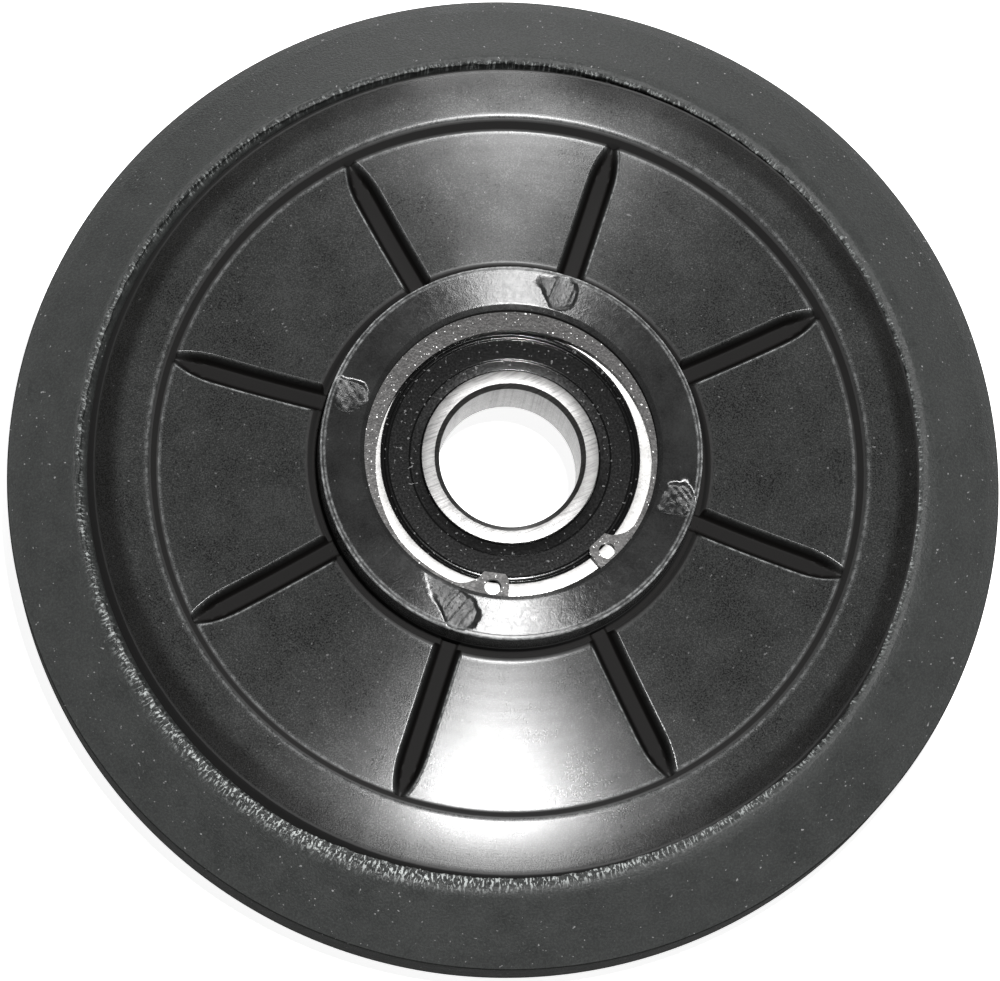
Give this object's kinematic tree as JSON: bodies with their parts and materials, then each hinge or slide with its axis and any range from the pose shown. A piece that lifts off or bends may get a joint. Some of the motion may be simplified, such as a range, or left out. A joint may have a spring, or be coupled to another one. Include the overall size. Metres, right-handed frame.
{
  "type": "track idler wheel",
  "caption": "Round idler wheel: rubber tyre on a moulded plastic body with a dished, grooved web, running on a sealed ball bearing held by a snap ring.",
  "frame": {"origin": "centre of the bearing bore: on the spin axis, midway through the width of the bearing", "axes": "+Z along the spin axis, out of the face with the snap ring; the wheel lies flat on the rear of its tyre; +X and +Y are across the wheel, with the gap of the snap ring 71 degrees clockwise from +X"},
  "size_m": [0.1778, 0.1778, 0.032],
  "materials": {
    "tyre_rubber": "dull black rubber, slightly bloomed",
    "moulded_plastic": "black moulded nylon with fine turned marks from the mould",
    "snap_ring_steel": "phosphated spring steel",
    "bearing_steel": "ground bearing steel",
    "ball_steel": "polished ball steel",
    "cage_steel": "pressed sheet steel",
    "seal_rubber": "glossy black nitrile rubber"
  },
  "bodies": {
    "inner_ring": {"bearing_inner_ring": "bearing_steel"},
    "wheel": {"rubber_tyre": "tyre_rubber", "wheel_body": "moulded_plastic", "snap_ring": "snap_ring_steel", "bearing_outer_ring": "bearing_steel", "front_seal_lip": "seal_rubber", "front_seal_insert": "cage_steel", "rear_seal_lip": "seal_rubber", "rear_seal_insert": "cage_steel"},
    "cage": {"cage_front_half": "cage_steel", "cage_rear_half": "cage_steel", "cage_rivets": "cage_steel"},
    "ball_1": {"ball_1": "ball_steel"},
    "ball_2": {"ball_2": "ball_steel"},
    "ball_3": {"ball_3": "ball_steel"},
    "ball_4": {"ball_4": "ball_steel"},
    "ball_5": {"ball_5": "ball_steel"},
    "ball_6": {"ball_6": "ball_steel"},
    "ball_7": {"ball_7": "ball_steel"},
    "ball_8": {"ball_8": "ball_steel"},
    "ball_9": {"ball_9": "ball_steel"}
  },
  "joints": [
    {"name": "wheel_spin", "type": "hinge", "parent": "inner_ring", "child": "wheel", "pos_m": [0, 0, 0], "axis": [0, 0, 1], "continuous": true},
    {"name": "cage_spin", "type": "hinge", "parent": "inner_ring", "child": "cage", "pos_m": [0, 0, 0], "axis": [0, 0, 1], "continuous": true},
    {"name": "ball_1_spin", "type": "hinge", "parent": "cage", "child": "ball_1", "pos_m": [0.01925, 0, 0], "axis": [0, 0, 1], "continuous": true},
    {"name": "ball_2_spin", "type": "hinge", "parent": "cage", "child": "ball_2", "pos_m": [0.01475, 0.01237, 0], "axis": [0, 0, 1], "continuous": true},
    {"name": "ball_3_spin", "type": "hinge", "parent": "cage", "child": "ball_3", "pos_m": [0.00334, 0.01896, 0], "axis": [0, 0, 1], "continuous": true},
    {"name": "ball_4_spin", "type": "hinge", "parent": "cage", "child": "ball_4", "pos_m": [-0.00962, 0.01667, 0], "axis": [0, 0, 1], "continuous": true},
    {"name": "ball_5_spin", "type": "hinge", "parent": "cage", "child": "ball_5", "pos_m": [-0.01809, 0.00658, 0], "axis": [0, 0, 1], "continuous": true},
    {"name": "ball_6_spin", "type": "hinge", "parent": "cage", "child": "ball_6", "pos_m": [-0.01809, -0.00658, 0], "axis": [0, 0, 1], "continuous": true},
    {"name": "ball_7_spin", "type": "hinge", "parent": "cage", "child": "ball_7", "pos_m": [-0.00962, -0.01667, 0], "axis": [0, 0, 1], "continuous": true},
    {"name": "ball_8_spin", "type": "hinge", "parent": "cage", "child": "ball_8", "pos_m": [0.00334, -0.01896, 0], "axis": [0, 0, 1], "continuous": true},
    {"name": "ball_9_spin", "type": "hinge", "parent": "cage", "child": "ball_9", "pos_m": [0.01475, -0.01237, 0], "axis": [0, 0, 1], "continuous": true}
  ],
  "couplings": [
    {"joint": "cage_spin", "follows": "wheel_spin", "ratio": 0.6031},
    {"joint": "ball_1_spin", "follows": "wheel_spin", "ratio": 2.322},
    {"joint": "ball_2_spin", "follows": "wheel_spin", "ratio": 2.322},
    {"joint": "ball_3_spin", "follows": "wheel_spin", "ratio": 2.322},
    {"joint": "ball_4_spin", "follows": "wheel_spin", "ratio": 2.322},
    {"joint": "ball_5_spin", "follows": "wheel_spin", "ratio": 2.322},
    {"joint": "ball_6_spin", "follows": "wheel_spin", "ratio": 2.322},
    {"joint": "ball_7_spin", "follows": "wheel_spin", "ratio": 2.322},
    {"joint": "ball_8_spin", "follows": "wheel_spin", "ratio": 2.322},
    {"joint": "ball_9_spin", "follows": "wheel_spin", "ratio": 2.322}
  ]
}
